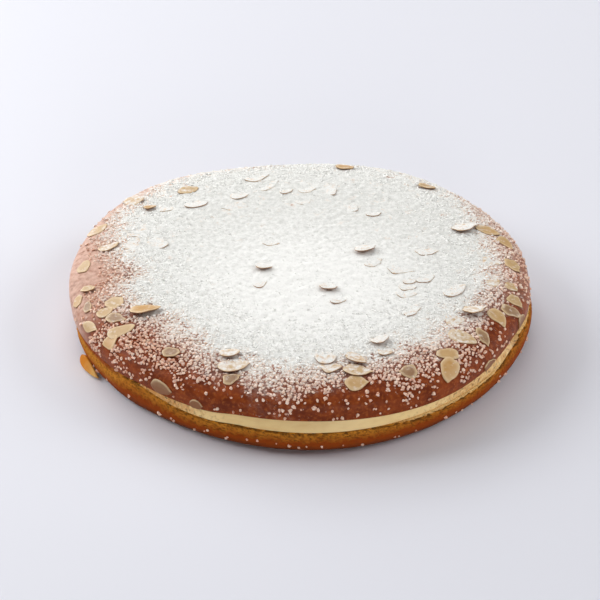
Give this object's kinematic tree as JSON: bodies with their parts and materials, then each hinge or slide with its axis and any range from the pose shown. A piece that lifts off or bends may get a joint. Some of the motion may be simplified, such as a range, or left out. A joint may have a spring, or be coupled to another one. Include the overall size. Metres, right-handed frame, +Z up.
{
  "type": "tarte tropezienne",
  "caption": "Large round split brioche filled with pastry cream, its domed crust baked with sliced almonds and pearl sugar and dusted with icing sugar.",
  "frame": {"origin": "middle of the flat underside, on the surface that the cake stands on", "axes": "+Z up through the cake, -Y towards the front of the picture, +X to its right"},
  "size_m": [0.2646, 0.2596, 0.0446],
  "materials": {
    "brioche_base": "baked brioche, matte and porous, browned at the foot",
    "cream": "pale yellow pastry cream, smooth with a soft sheen",
    "brioche_top": "glazed red-brown crust with a satin sheen under almonds, sugar nibs and icing sugar"
  },
  "bodies": {
    "root": {"brioche_base": "brioche_base", "cream": "cream", "brioche_top": "brioche_top"}
  },
  "joints": []
}
